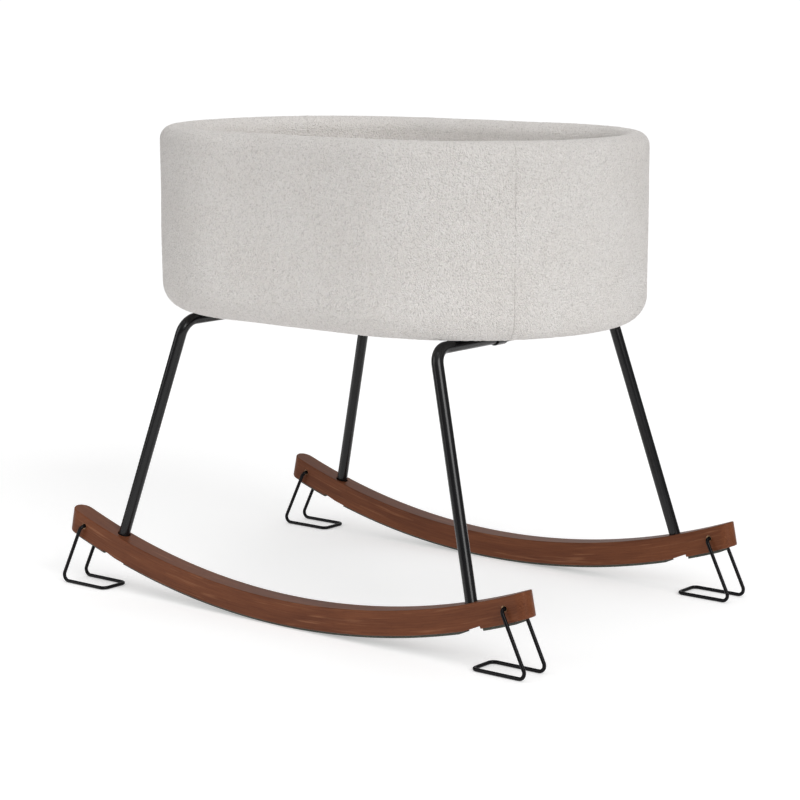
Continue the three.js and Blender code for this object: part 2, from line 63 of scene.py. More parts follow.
tub_low, tub_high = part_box("outer_cover")
shell_low, shell_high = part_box("shell_wall")
TUB_BOTTOM = tub_low.z
TUB_RIM = tub_high.z
HALF_WIDTH = tub_high.y
HALF_STRAIGHT = tub_high.x - tub_high.y
EDGE_RADIUS = 42 * MM  # rounding under the tub
WALL = 44 * MM  # the padded wall, from cover to liner
RIM_RADIUS = WALL / 2
COVER = 2.2 * MM
HEM_FOLD = 1.6 * MM
SEAM_FOLD = 0.7 * MM
SEAM_GAP = 0.1 * MM
UNDER_HEM = 54 * MM
HEM_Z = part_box("inner_liner")[1].z + GAP
PADDING_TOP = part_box("side_padding")[1].z
BASE_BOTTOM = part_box("base_board")[0].z
SHELL_OUTSIDE = HALF_WIDTH - shell_high.y
SHELL_THICK = 6 * MM
SHELL_INSIDE = SHELL_OUTSIDE + SHELL_THICK
SEAM_ANGLE = math.radians(-39)  # the cover's first seam; the other is half a turn on
NUB_SIZE = 4.6 * MM  # of the boucle's lumps
NUB_HEIGHT = 0.7 * MM
CLOTH_SWELL = 0.9 * MM  # soft unevenness of the cover and the liner
COVER_WAVE = 95 * MM
COVER_SINK = 1 * MM  # sets the cloth back, so its lumps come out about level with the CAD shape
LINER_WAVE = 80 * MM
LINER_SINK = 1.5 * MM
LINER_PILE = 0.8  # height of the liner's lumps, as a share of the cover's
RIDGE_HEIGHT = 0.5 * MM  # the cloth's swelling beside a seam
RIDGE_WIDTH = 2.5 * MM
RIDGE_FROM_SEAM = 3.5 * MM
DUST_CLOTH_THICK = 0.8 * MM

MATTRESS_EDGE = 9 * MM
MATTRESS_PUFF = 4 * MM  # how far its panels swell out between the piping
MATTRESS_SEAM_TURN = math.radians(45)  # where a seam lies on a rounded edge
PIPING_RADIUS = 2.2 * MM
QUILT_PITCH = 92 * MM
CLOTH_PRESSURE = 4
CLOTH_FRAMES = 16

rocker_low, rocker_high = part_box("rocker_front")
ROCKER_PLANE = -(rocker_low.y + rocker_high.y) / 2
ROCKER_THICK = rocker_high.y - rocker_low.y
ROCKER_HEIGHT = 37 * MM
ROCKER_EDGE = 2 * MM  # rounding of its long edges
ROCKER_RADIUS = 1254 * MM
ROCKER_TIP = 447 * MM
ROCKER_END_LEAN = math.radians(12)
TIP_EASE = 80 * MM  # the length over which the cut of the tip turns to its lean
ARC_CENTRE_Z = rocker_low.z + ROCKER_RADIUS
strip_low, strip_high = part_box("strip_front_middle")
STRIP_THICK = 3.8 * MM
STRIP_HALF_WIDTH = (strip_high.y - strip_low.y) / 2
MIDDLE_STRIP_TO = strip_high.x
NOTCH_FROM = 339 * MM
NOTCH_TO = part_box("strip_front_right")[0].x
NOTCH_DEPTH = 4 * MM
END_STRIP_TO = 425 * MM

TUBE_RADIUS = 8.75 * MM
TUBE_BEND = 26 * MM
CROSS_TUBE_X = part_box("leg_frame_right")[0].x + TUBE_RADIUS
CROSS_TUBE_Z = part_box("leg_frame_right")[1].z - TUBE_RADIUS
CROSS_CORNER_Y = 224 * MM
SOCKET_X = 344 * MM
SOCKET_RADIUS = 10.35 * MM
SOCKET_DEPTH = 20 * MM
COUNTERBORE_RADIUS = 7.6 * MM
COUNTERBORE_DEPTH = 8 * MM
BOLT_HOLE_RADIUS = 3.4 * MM
SADDLE_THICK = 2 * MM
WASHER_THICK = 1.5 * MM

# Each fastener's shank radius, length, head radius and head height.
LEG_BOLT = (3 * MM, 27 * MM, 5 * MM, 3.8 * MM)
SADDLE_SCREW = (2.5 * MM, 12.9 * MM, 5 * MM, 3 * MM)
HEX_KEY_RADIUS = 2.6 * MM
HEX_SOCKET_DEPTH = 2 * MM

WIRE_RADIUS = 2.8 * MM
PIN_HOLE_RADIUS = 3.4 * MM
PIN_HOLE_DEPTH = 12 * MM
PIN_DEPTH = 11 * MM
PIN_COUNTERSINK = 1.4 * MM  # flare at the mouth of a pin hole
PIN_BEND = 7 * MM
FOOT_BEND = 9 * MM
STOP_HINGE_X, STOP_HINGE_Z = 409 * MM, 95 * MM
STOP_OUTER_X = 454 * MM
STOP_INNER_X = 360 * MM
STOP_HALF_WIDTH = 24 * MM

# How finely the meshes are divided.
COVER_STEP = 2.35 * MM
LINER_STEP = 3.4 * MM
LINING_STEP = 14 * MM
PLAIN_STEP = 9 * MM  # of foam, felt and the cloth under the base
MATTRESS_STEP = 12 * MM
MATTRESS_VOXEL = 5.5 * MM
PIPING_STEP = 6 * MM
HOLE_SIDES = 32
SCREW_SIDES = 36
TUBE_SIDES, TUBE_BEND_STEPS = 40, 20
WIRE_SIDES, WIRE_BEND_STEPS = 20, 12
SADDLE_BEND_STEPS = 24
ROCKER_SIDE_POINTS, ROCKER_TIP_STEPS, ROCKER_EDGE_STEPS = 36, 18, 5

# The studio. The camera is where a perspective fit of the whole object puts it.
CAMERA_PLACE = (2.2619, -2.8550, 0.9349)
CAMERA_DIP = 0.172
CAMERA_TURN = 0.6698
CAMERA_LENS = 107.227
FLOOR_RADIUS = 2.5
FLOOR_SINK = 0.2 * MM
FLOOR_GLOW = 0.385
WORLD_SEEN = 1.05
WORLD_LOW, WORLD_HIGH = 0.12, 0.58


# ---- Meshes ----

def add_object(name, mesh):
    piece = bpy.data.objects.new(name, mesh)
    bpy.context.scene.collection.objects.link(piece)
    return piece


def make_mesh(name, points, faces):
    mesh = bpy.data.meshes.new(name)
    mesh.from_pydata([tuple(p) for p in points], [], [tuple(f) for f in faces])
    mesh.validate()
    mesh.shade_smooth()
    return mesh


def get_points(piece):
    points = np.empty(len(piece.data.vertices) * 3)
    piece.data.vertices.foreach_get("co", points)
    return points.reshape(-1, 3)


def set_points(piece, points):
    piece.data.vertices.foreach_set("co", np.asarray(points).ravel())
    piece.data.update()


def set_value(piece, name, values):
    """Keeps one number for each point of the mesh, for a material to read."""
    attribute = piece.data.attributes.new(name, "FLOAT", "POINT")
    attribute.data.foreach_set("value", np.asarray(values, dtype=float).ravel())


def apply_modifiers(piece):
    """Puts what the modifiers make into the piece's own mesh."""
    graph = bpy.context.evaluated_depsgraph_get()
    graph.update()
    mesh = bpy.data.meshes.new_from_object(piece.evaluated_get(graph))
    old = piece.data
    piece.modifiers.clear()
    piece.data = mesh
    bpy.data.meshes.remove(old)


def cut_out(piece, cutters):
    for cutter in cutters:
        modifier = piece.modifiers.new("cut", "BOOLEAN")
        modifier.operation = "DIFFERENCE"
        modifier.solver = "EXACT"
        modifier.object = cutter
    apply_modifiers(piece)
    for cutter in cutters:
        bpy.data.objects.remove(cutter)


def bevel(piece, width, segments=2, angle=40):
    modifier = piece.modifiers.new("bevel", "BEVEL")
    modifier.width = width
    modifier.segments = segments
    modifier.limit_method = "ANGLE"
    modifier.angle_limit = math.radians(angle)
    apply_modifiers(piece)


def smooth_by_angle(piece, degrees=35):
    """Smooth shading that keeps sharp edges, with flat faces kept flat beside small curved ones."""
    piece.data.shade_smooth()
    piece.data.set_sharp_from_angle(angle=math.radians(degrees))
    modifier = piece.modifiers.new("normals", "WEIGHTED_NORMAL")
    modifier.keep_sharp = True
    apply_modifiers(piece)


def finish_piece(piece, material, replaced=(), body=ROOT):
    piece.data.materials.clear()
    piece.data.materials.append(material)
    if replaced:
        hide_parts(*replaced)
    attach(piece, body)


def grid_faces(columns, rows, closed_columns, closed_rows):
    """Quads between neighbouring columns and rows of points, one column after another."""
    a = np.arange(columns if closed_columns else columns - 1)[:, None]
    b = np.arange(rows if closed_rows else rows - 1)[None, :]

    def corner(i, j):
        return (i % columns) * rows + j % rows

    faces = np.stack([corner(a, b), corner(a + 1, b), corner(a + 1, b + 1), corner(a, b + 1)], -1)
    return faces.reshape(-1, 4).tolist()


def ladder_faces(loop, flip):
    """Fills a long loop with quads across it. Its first and last points lie side by side."""
    low, high = 0, len(loop) - 1
    faces = []
    while high - low > 2:
        faces.append((loop[low], loop[low + 1], loop[high - 1], loop[high]))
        low, high = low + 1, high - 1
    if high - low == 2:
        faces.append((loop[low], loop[low + 1], loop[high]))
    return [face[::-1] for face in faces] if flip else faces


def turned(profile, sides, matrix, name="turned"):
    """A solid turned from [radius, height] pairs that start and end on the axis."""
    points = []
    for radius, height in profile[1:-1]:
        for i in range(sides):
            a = 2 * math.pi * i / sides
            points.append(matrix @ Vector((radius * math.cos(a), radius * math.sin(a), height)))
    faces = []
    for row in range(len(profile) - 3):
        for i in range(sides):
            j = (i + 1) % sides
            a, b = row * sides, (row + 1) * sides
            faces.append((a + i, a + j, b + j, b + i))
    first, last = len(points), len(points) + 1
    points.append(matrix @ Vector((0, 0, profile[0][1])))
    points.append(matrix @ Vector((0, 0, profile[-1][1])))
    top = (len(profile) - 3) * sides
    for i in range(sides):
        j = (i + 1) % sides
        faces.append((first, j, i))
        faces.append((last, top + i, top + j))
    return make_mesh(name, points, faces)


def along(origin, direction):
    """The matrix that puts +Z along a direction, from an origin."""
    return Matrix.Translation(origin) @ direction.to_track_quat("Z", "Y").to_matrix().to_4x4()


def hole_cutter(origin, direction, start, end, radius, flare=0.0):
    """A round cutter along a direction. A flare eases the edge of a hole that opens at origin."""
    profile = [(0, start), (radius, start), (radius, end), (0, end)]
    if flare:
        wide = radius + flare - start
        profile = [(0, start), (wide, start), (radius, flare), (radius, end), (0, end)]
    return add_object("cutter", turned(profile, HOLE_SIDES, along(origin, direction)))


# ---- Tub surfaces ----

SIDE_LENGTH = 2 * HALF_STRAIGHT
END_LENGTH = math.pi * HALF_WIDTH
ROUND_LENGTH = 2 * (SIDE_LENGTH + END_LENGTH)
SEAM_PLACE = SIDE_LENGTH + (SEAM_ANGLE + math.pi / 2) * HALF_WIDTH


def round_places(step):
    """Places for columns all the way round the tub."""
    return np.arange(0, ROUND_LENGTH - step / 2, step)


def plan_at(places):
    """Where columns stand on the tub's oval, by distance round it from the front left, going
    anticlockwise: the x each is measured from, and the angle it faces."""
    along_half = np.mod(places, ROUND_LENGTH / 2)
    turned_round = np.where(np.mod(places, ROUND_LENGTH) < ROUND_LENGTH / 2, 0.0, math.pi)
    on_side = along_half < SIDE_LENGTH
    base = np.where(on_side, along_half - HALF_STRAIGHT, HALF_STRAIGHT)
    swing = np.where(on_side, 0.0, (along_half - SIDE_LENGTH) / HALF_WIDTH)
    return base * np.cos(turned_round), swing - math.pi / 2 + turned_round


UNDER_FLAT = UNDER_HEM - EDGE_RADIUS
UNDER_ARC = math.pi / 2 * EDGE_RADIUS
SIDE_HEIGHT = TUB_RIM - RIM_RADIUS - TUB_BOTTOM - EDGE_RADIUS
RIM_ARC = math.pi * RIM_RADIUS
INNER_DROP = TUB_RIM - RIM_RADIUS - HEM_Z
SECTION_LENGTH = UNDER_FLAT + UNDER_ARC + SIDE_HEIGHT + RIM_ARC + INNER_DROP


def section_at(places):
    """The outside of the tub's section, by distance from the hem under the tub: rows of inset,
    z and the tilt of the surface, where 0 faces outwards and a quarter turn faces up."""
    rows = []
    for place in places:
        rest = place
        if rest < UNDER_FLAT:
            rows.append((UNDER_HEM - rest, TUB_BOTTOM, -math.pi / 2))
            continue
        rest -= UNDER_FLAT
        if rest < UNDER_ARC:
            tilt = rest / EDGE_RADIUS - math.pi / 2
            rows.append((EDGE_RADIUS * (1 - math.cos(tilt)),
                         TUB_BOTTOM + EDGE_RADIUS * (1 + math.sin(tilt)), tilt))
            continue
        rest -= UNDER_ARC
        if rest < SIDE_HEIGHT:
            rows.append((0.0, TUB_BOTTOM + EDGE_RADIUS + rest, 0.0))
            continue
        rest -= SIDE_HEIGHT
        if rest < RIM_ARC:
            tilt = rest / RIM_RADIUS
            rows.append((RIM_RADIUS * (1 - math.cos(tilt)),
                         TUB_RIM - RIM_RADIUS * (1 - math.sin(tilt)), tilt))
            continue
        rows.append((WALL, TUB_RIM - RIM_RADIUS - (rest - RIM_ARC), math.pi))
    return np.array(rows)


def tub_points(columns, section, height=0.0):
    """Points at a height over a section, for each column: an array of columns by rows by 3."""
    base, angle = plan_at(columns)
    inset, z, tilt = section.T
    reach = HALF_WIDTH - inset + np.cos(tilt) * height
    points = np.empty((len(base), len(inset), 3))
    points[..., 0] = base[:, None] + np.cos(angle)[:, None] * reach
    points[..., 1] = np.sin(angle)[:, None] * reach
    points[..., 2] = z + np.sin(tilt) * height
    return points


def spaced(start, stop, step):
    count = max(1, math.ceil(abs(stop - start) / step))
    return np.linspace(start, stop, count + 1)


def with_folds(start, stop, step, fold):
    """Places from start to stop, and how deep each lies where the two edges are folded in."""
    turn = np.radians([0, 22.5, 45, 67.5])
    edge = fold * (1 - np.cos(turn))
    dip = fold * (1 - np.sin(turn))
    inner = spaced(start + fold, stop - fold, step)
    places = np.concatenate([start + edge, inner, (stop - edge)[::-1]])
    return places, np.concatenate([dip, np.zeros(len(inner)), dip[::-1]])


def nubs(places):
    """The loops of boucle, from 0 in the gaps between them to 1 on their tops. Lengths in here
    are shares of a loop's size."""
    drift_size, drift = 1.6, 0.45
    reach = 0.75  # from a loop's middle to its foot
    gap_width = 0.22
    in_gap = 0.45  # how much of its height a loop keeps at a gap
    out = np.empty(len(places))
    for i, place in enumerate(places):
        at = Vector(place)
        at += noise.noise_vector(at / (drift_size * NUB_SIZE)) * (drift * NUB_SIZE)
        near = noise.voronoi(at / NUB_SIZE)[0]
        rise = 1 - min(1.0, near[0] / reach) ** 2
        clear_of_gap = min(1.0, (near[1] - near[0]) / gap_width)
        out[i] = rise * (in_gap + (1 - in_gap) * clear_of_gap)
    return out


def swell(places, size, height):
    """Slow, soft unevenness."""
    return np.array([height * noise.noise(Vector(place) / size) for place in places])


def seam_ridge(columns, start, stop):
    """The slight swelling of the cloth on each side of a seam."""
    away = np.minimum(columns - start, stop - columns)
    return RIDGE_HEIGHT * np.exp(-(((away - RIDGE_FROM_SEAM) / RIDGE_WIDTH) ** 2))


def build_cover_panel(name, start):
    """Half of the boucle cover, from one seam to the other, as a closed shell of cloth."""
    stop = start + ROUND_LENGTH / 2
    near, far = start + SEAM_GAP / 2, stop - SEAM_GAP / 2
    columns, seam_dip = with_folds(near, far, COVER_STEP, SEAM_FOLD)
    rows, hem_dip = with_folds(0.0, SECTION_LENGTH, COVER_STEP, HEM_FOLD)
    section = section_at(rows)
    places = tub_points(columns, section).reshape(-1, 3)
    pile = nubs(places)
    dip = np.maximum(seam_dip[:, None], hem_dip[None, :])
    height = pile * NUB_HEIGHT + swell(places, COVER_WAVE, CLOTH_SWELL)
    height = height.reshape(dip.shape) - COVER_SINK
    height += seam_ridge(columns, start, stop)[:, None]
    height = height * (1 - hem_dip / HEM_FOLD) - dip
    outside = tub_points(columns, section, height)
    lining = section_at(spaced(SECTION_LENGTH - COVER, COVER, LINING_STEP))
    inside = tub_points(columns, lining, -COVER)
    points = np.concatenate([outside, inside], axis=1)
    count, around = points.shape[:2]
    faces = grid_faces(count, around, False, True)
    faces.append(list(range(around)))
    faces.append(list(range((count - 1) * around, count * around))[::-1])
    piece = add_object(name, make_mesh(name, points.reshape(-1, 3), faces))
    shown = np.zeros((count, around))
    shown[:, :len(rows)] = pile.reshape(dip.shape)
    # The boucle material reads these lump heights to paint shade into the gaps between the lumps.
    set_value(piece, "pile", shown)
    finish_piece(piece, BOUCLE, ["outer_cover"])


def oval_ring(name, profile, step):
    """A closed ring with the tub's plan, from a loop of (inset, z) pairs."""
    columns = round_places(step)
    section = np.array([(inset, z, 0.0) for inset, z in profile])
    points = tub_points(columns, section)
    faces = grid_faces(len(columns), len(profile), True, True)
    return add_object(name, make_mesh(name, points.reshape(-1, 3), faces))


def arc_point(inset, z, radius, angle):
    """A point in the tub's section, at an angle round a centre, where 0 faces outwards."""
    return inset - radius * math.cos(angle), z + radius * math.sin(angle)


def section_arc(inset, z, radius, start, stop, count):
    """An arc in the tub's section between two angles in degrees."""
    angles = np.radians(np.linspace(start, stop, count + 1))
    return [arc_point(inset, z, radius, a) for a in angles]


def build_paddings():
    """The foam under the cover. It shows only if the cover is taken off."""
    depth = COVER + GAP
    outer_face = SHELL_OUTSIDE - GAP
    inner_face = SHELL_INSIDE + GAP
    under = TUB_BOTTOM + depth
    edge = section_arc(EDGE_RADIUS, TUB_BOTTOM + EDGE_RADIUS, EDGE_RADIUS - depth, -90, 0, 12)
    side = [
        (UNDER_HEM, under), *edge, (depth, PADDING_TOP), (outer_face, PADDING_TOP),
        (outer_face, shell_low.z - GAP), (SHELL_INSIDE, shell_low.z - GAP),
        (SHELL_INSIDE, BASE_BOTTOM - GAP), (UNDER_HEM, BASE_BOTTOM - GAP),
    ]
    rim = section_arc(RIM_RADIUS, TUB_RIM - RIM_RADIUS, RIM_RADIUS - depth, 0, 180, 14)
    roll = [
        (depth, PADDING_TOP + GAP), *rim, (WALL - depth, HEM_Z), (inner_face, HEM_Z),
        (inner_face, shell_high.z + GAP), (outer_face, shell_high.z + GAP),
        (outer_face, PADDING_TOP + GAP),
    ]
    for name, profile, node in (("wall_foam", side, "side_padding"), ("rim_roll", roll, "rim_foam")):
        piece = oval_ring(name, profile, PLAIN_STEP)
        smooth_by_angle(piece)
        finish_piece(piece, FOAM, [node])


def build_liner():
    """The padded inner wall, from the base up to the cover's hem, with the same boucle cloth."""
    low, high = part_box("inner_liner")
    columns = round_places(LINER_STEP)
    rows, dip = with_folds(low.z, high.z, LINER_STEP, HEM_FOLD)
    section = np.array([(WALL, z, math.pi) for z in rows])
    places = tub_points(columns, section).reshape(-1, 3)
    pile = nubs(places)
    height = pile * NUB_HEIGHT * LINER_PILE + swell(places, LINER_WAVE, CLOTH_SWELL) - LINER_SINK
    height = height.reshape(len(columns), len(rows)) - dip
    front = tub_points(columns, section, height)
    back_inset = HALF_WIDTH - high.y
    back = tub_points(columns, np.array([(back_inset, high.z, 0.0), (back_inset, low.z, 0.0)]))
    points = np.concatenate([front, back], axis=1)
    faces = grid_faces(len(columns), points.shape[1], True, True)
    faces = [face[::-1] for face in faces]
    piece = add_object("wall_liner", make_mesh("wall_liner", points.reshape(-1, 3), faces))
    shown = np.zeros(points.shape[:2])
    shown[:, :len(rows)] = pile.reshape(height.shape)
    # The boucle material reads these lump heights to paint shade into the gaps between the lumps.
    set_value(piece, "pile", shown)
    finish_piece(piece, BOUCLE, ["inner_liner"])


def oval_slab(name, profile, step):
    """A closed oval solid from (inset, z) pairs that run from the underside to the top. Rings
    that shrink towards the middle line fill its two faces."""
    columns = round_places(step)
    base, _ = plan_at(columns)
    edge = tub_points(columns, np.array([(inset, z, 0.0) for inset, z in profile]))
    rings = max(2, round((HALF_WIDTH - profile[0][0]) / step))
    keep = np.arange(1, rings) / rings

    def shrunk(ring, keeps):
        out = np.repeat(ring[:, None, :], len(keeps), axis=1)
        out[..., 0] = base[:, None] + (ring[:, 0] - base)[:, None] * keeps
        out[..., 1] = ring[:, 1][:, None] * keeps
        return out

    stack = np.concatenate([shrunk(edge[:, 0], keep), edge, shrunk(edge[:, -1], keep[::-1])], axis=1)
    count, rows = stack.shape[:2]
    faces = grid_faces(count, rows, True, False)
    first = round((SIDE_LENGTH + END_LENGTH / 2) / step)
    order = [(first + k) % count for k in range(count)]
    faces += ladder_faces([i * rows for i in order], True)
    faces += ladder_faces([i * rows + rows - 1 for i in order], False)
    return add_object(name, make_mesh(name, stack.reshape(-1, 3), faces))


# ---- Mattress ----

def build_mattress():
    """A foam mattress in a quilted cover. Cloth simulation puffs up its panels, and its seams
    stay where the piping holds them."""
    low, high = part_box("mattress")
    inset = HALF_WIDTH - high.y + MATTRESS_PUFF + MATTRESS_EDGE
    seam_low, seam_high = low.z + MATTRESS_EDGE, high.z - MATTRESS_PUFF - MATTRESS_EDGE
    lower = section_arc(inset, seam_low, MATTRESS_EDGE, -90, 0, 5)
    upper = section_arc(inset, seam_high, MATTRESS_EDGE, 0, 90, 5)
    piece = oval_slab("mattress_pad", lower + upper, MATTRESS_STEP)
    remesh = piece.modifiers.new("remesh", "REMESH")
    remesh.mode = "VOXEL"
    remesh.voxel_size = MATTRESS_VOXEL
    apply_modifiers(piece)
    seams = [
        arc_point(inset, seam_low, MATTRESS_EDGE, -MATTRESS_SEAM_TURN),
        arc_point(inset, seam_high, MATTRESS_EDGE, MATTRESS_SEAM_TURN),
    ]
    inflate(piece, seams, low.z)
    finer = piece.modifiers.new("finer", "SUBSURF")
    finer.levels = 1
    apply_modifiers(piece)
    quilt(piece, high.z)
    piece.data.shade_smooth()
    finish_piece(piece, COTTON, ["mattress"], body="mattress")
    for name, (seam_inset, height) in zip(("lower", "upper"), seams):
        loop = section_arc(seam_inset, height, PIPING_RADIUS, 0, 360, 12)[:-1]
        piping = oval_ring(f"mattress_piping_{name}", loop, PIPING_STEP)
        finish_piece(piping, COTTON, body="mattress")


def quilt(piece, top):
    """Stitched lines that cross on the top face, each in a groove at the foot of a valley."""
    groove_depth, groove_width = 2.4 * MM, 4 * MM
    valley_depth, valley_width = 2.2 * MM, 16 * MM
    ripple_size, ripple_height = 60 * MM, 0.6 * MM
    fade_end, fade_length = 12 * MM, 8 * MM  # the quilting fades out below the top face
    places = get_points(piece)
    a = (places[:, 0] + places[:, 1]) / QUILT_PITCH
    b = (places[:, 0] - places[:, 1]) / QUILT_PITCH
    off_line = np.minimum(np.abs(a - np.round(a)), np.abs(b - np.round(b))) * QUILT_PITCH
    groove = groove_depth * np.exp(-((off_line / groove_width) ** 2))
    valley = valley_depth * np.exp(-off_line / valley_width)
    ripple = np.abs(swell(places, ripple_size, ripple_height))
    on_top = np.clip((places[:, 2] - (top - fade_end)) / fade_length, 0, 1)
    places[:, 2] -= on_top * (groove + valley) + ripple * on_top
    set_points(piece, places)


def inflate(piece, seams, floor_z):
    """Cloth pressure on the panels between the seams. Each point moves no further than the
    puff, and nothing goes below floor_z."""
    held = PIPING_RADIUS + 2 * MM  # how far from a seam its piping holds the cloth
    before = get_points(piece)
    along_straight = np.clip(before[:, 0], -HALF_STRAIGHT, HALF_STRAIGHT)
    inset = HALF_WIDTH - np.hypot(before[:, 0] - along_straight, before[:, 1])
    pinned = piece.vertex_groups.new(name="seams")
    for seam_inset, height in seams:
        near = np.hypot(inset - seam_inset, before[:, 2] - height) < held
        pinned.add(np.flatnonzero(near).tolist(), 1.0, "REPLACE")
    cloth = piece.modifiers.new("cloth", "CLOTH")
    cloth.settings.quality = 4
    cloth.settings.vertex_group_mass = pinned.name
    cloth.settings.use_pressure = True
    cloth.settings.uniform_pressure_force = CLOTH_PRESSURE
    cloth.settings.effector_weights.gravity = 0
    for step in range(1, CLOTH_FRAMES + 1):
        bpy.context.scene.frame_set(step)
    apply_modifiers(piece)
    bpy.context.scene.frame_set(1)
    move = get_points(piece) - before
    length = np.linalg.norm(move, axis=1, keepdims=True)
    place = before + move * np.minimum(1, MATTRESS_PUFF / np.maximum(length, 1e-9))
    place[:, 2] = np.maximum(place[:, 2], floor_z)
    set_points(piece, place)


def build_dust_cover():
    """The cloth stretched under the base, with a slight sag here and there."""
    sag_size, sag_depth = 45 * MM, 0.3 * MM
    low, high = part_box("dust_cover")
    inset = HALF_WIDTH - high.y
    half = DUST_CLOTH_THICK / 2
    middle = (low.z + high.z) / 2
    edge = [(inset, middle - half), (inset, middle + half)]
    piece = oval_slab("base_cloth", edge, PLAIN_STEP)
    places = get_points(piece)
    places[:, 2] -= np.abs(swell(places, sag_size, sag_depth))
    set_points(piece, places)
    finish_piece(piece, DUST_CLOTH, ["dust_cover"])


# ---- Bent tube and wire ----

def bent_points(corners, steps):
    """The line of a rod bent at each corner between its ends; a corner is (point, bend radius)."""
    points = [corners[0][0]]
    for (before, _), (corner, radius), (after, _) in zip(corners, corners[1:], corners[2:]):
        back = (before - corner).normalized()
        ahead = (after - corner).normalized()
        turn = math.pi - back.angle(ahead)
        centre = corner + (back + ahead).normalized() * (radius / math.cos(turn / 2))
        spoke = corner + back * (radius * math.tan(turn / 2)) - centre
        axis = back.cross(spoke).normalized()
        for k in range(steps + 1):
            points.append(centre + Quaternion(axis, turn * k / steps) @ spoke)
    points.append(corners[-1][0])
    return points


def rod(name, points, radius, sides):
    """A round rod along a line of points, with a slight dome on each end."""
    dome = 0.15 * radius
    tangents = [(b - a).normalized() for a, b in zip(points, points[1:])]
    directions = [tangents[0]]
    directions += [(a + b).normalized() for a, b in zip(tangents, tangents[1:])]
    directions.append(tangents[-1])
    across = directions[0].orthogonal().normalized()
    verts = []
    for point, direction in zip(points, directions):
        across = (across - direction * across.dot(direction)).normalized()
        other = direction.cross(across)
        for i in range(sides):
            a = 2 * math.pi * i / sides
            verts.append(point + (across * math.cos(a) + other * math.sin(a)) * radius)
    faces = [face[::-1] for face in grid_faces(len(points), sides, False, True)]
    last = (len(points) - 1) * sides
    tips = len(verts)
    verts.append(points[0] - directions[0] * dome)
    verts.append(points[-1] + directions[-1] * dome)
    for i in range(sides):
        j = (i + 1) % sides
        faces.append((tips, j, i))
        faces.append((tips + 1, last + i, last + j))
    piece = add_object(name, make_mesh(name, verts, faces))
    piece.data.set_sharp_from_angle(angle=math.radians(60))
    return piece


def socket_middle(row, end):
    radius = ROCKER_RADIUS - ROCKER_HEIGHT / 2
    z = ARC_CENTRE_Z - math.sqrt(radius ** 2 - SOCKET_X ** 2)
    return Vector((end * SOCKET_X, row * ROCKER_PLANE, z))


def cross_corner(row, end):
    return Vector((end * CROSS_TUBE_X, row * CROSS_CORNER_Y, CROSS_TUBE_Z))


def leg_axis(row, end):
    return (cross_corner(row, end) - socket_middle(row, end)).normalized()


def build_leg_frames():
    floor_of_socket = ROCKER_HEIGHT / 2 - SOCKET_DEPTH + GAP
    for name, end in ENDS.items():
        sides = []
        for row in (-1, 1):
            foot = socket_middle(row, end) + leg_axis(row, end) * floor_of_socket
            sides.append([(foot, 0), (cross_corner(row, end), TUBE_BEND)])
        corners = sides[0] + sides[1][::-1]
        line = bent_points(corners, TUBE_BEND_STEPS)
        piece = rod(f"legs_{name}", line, TUBE_RADIUS, TUBE_SIDES)
        finish_piece(piece, BLACK_STEEL, [f"leg_frame_{name}"])


def build_saddles():
    """The straps that hold the cross tubes up to the base."""
    for end_name, end in ENDS.items():
        for row_name in ROWS:
            node = f"saddle_{end_name}_{row_name}"
            low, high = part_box(node)
            ear_top = high.z - CROSS_TUBE_Z
            half_span = (high.x - low.x) / 2
            inside = TUBE_RADIUS + GAP
            outside = inside + SADDLE_THICK
            bend = np.radians(np.linspace(180, 360, SADDLE_BEND_STEPS + 1))
            around = [(outside * math.cos(a), outside * math.sin(a)) for a in bend]
            under = [(inside * math.cos(a), inside * math.sin(a)) for a in bend[::-1]]
            ear_bottom = ear_top - SADDLE_THICK
            outline = [
                (-half_span, ear_top), (-half_span, ear_bottom), (-outside, ear_bottom), *around,
                (outside, ear_bottom), (half_span, ear_bottom), (half_span, ear_top),
                (inside, ear_top), *under, (-inside, ear_top),
            ]
            piece = prism(f"strap_{end_name}_{row_name}", outline, low.y, high.y)
            piece.data.transform(Matrix.Translation((end * CROSS_TUBE_X, 0, CROSS_TUBE_Z)))
            bevel(piece, 0.4 * MM, angle=50)
            smooth_by_angle(piece, 40)
            finish_piece(piece, BLACK_STEEL, [node])


def prism(name, outline, start, stop):
    """A solid with an outline of (x, z) pairs, anticlockwise, between two values of y."""
    count = len(outline)
    points = [(x, y, z) for y in (start, stop) for x, z in outline]
    faces = [list(range(count)), list(range(count, 2 * count))[::-1]]
    for i in range(count):
        j = (i + 1) % count
        faces.append([i, i + count, j + count, j])
    return add_object(name, make_mesh(name, points, faces))


def build_wire_stops():
    for row_name, row in ROWS.items():
        for end_name, end in ENDS.items():
            plane = row * ROCKER_PLANE
            corners = wire_side(plane, end, -1) + wire_side(plane, end, 1)[::-1]
            place = f"{row_name}_{end_name}"
            line = bent_points(corners, WIRE_BEND_STEPS)
            piece = rod(f"stop_{place}", line, WIRE_RADIUS, WIRE_SIDES)
            finish_piece(piece, BLACK_WIRE, [f"wire_stop_{place}"], f"stop_{place}")


def wire_side(plane, end, side):
    """One side of a stop: in through the rocker's face, down to the floor and in along it."""
    wide = plane + side * STOP_HALF_WIDTH
    hinge = Vector((end * STOP_HINGE_X, wide, STOP_HINGE_Z))
    pin_end = Vector((hinge.x, plane + side * (ROCKER_THICK / 2 - PIN_DEPTH), hinge.z))
    return [
        (pin_end, 0),
        (hinge, PIN_BEND),
        (Vector((end * STOP_OUTER_X, wide, WIRE_RADIUS)), FOOT_BEND),
        (Vector((end * STOP_INNER_X, wide, WIRE_RADIUS)), FOOT_BEND),
    ]


# ---- Rockers ----

def on_arc(radius, angle):
    return radius * math.sin(angle), ARC_CENTRE_Z - radius * math.cos(angle)


def angle_at(x, radius=ROCKER_RADIUS):
    return math.asin(x / radius)


TIP_ANGLE = angle_at(ROCKER_TIP)


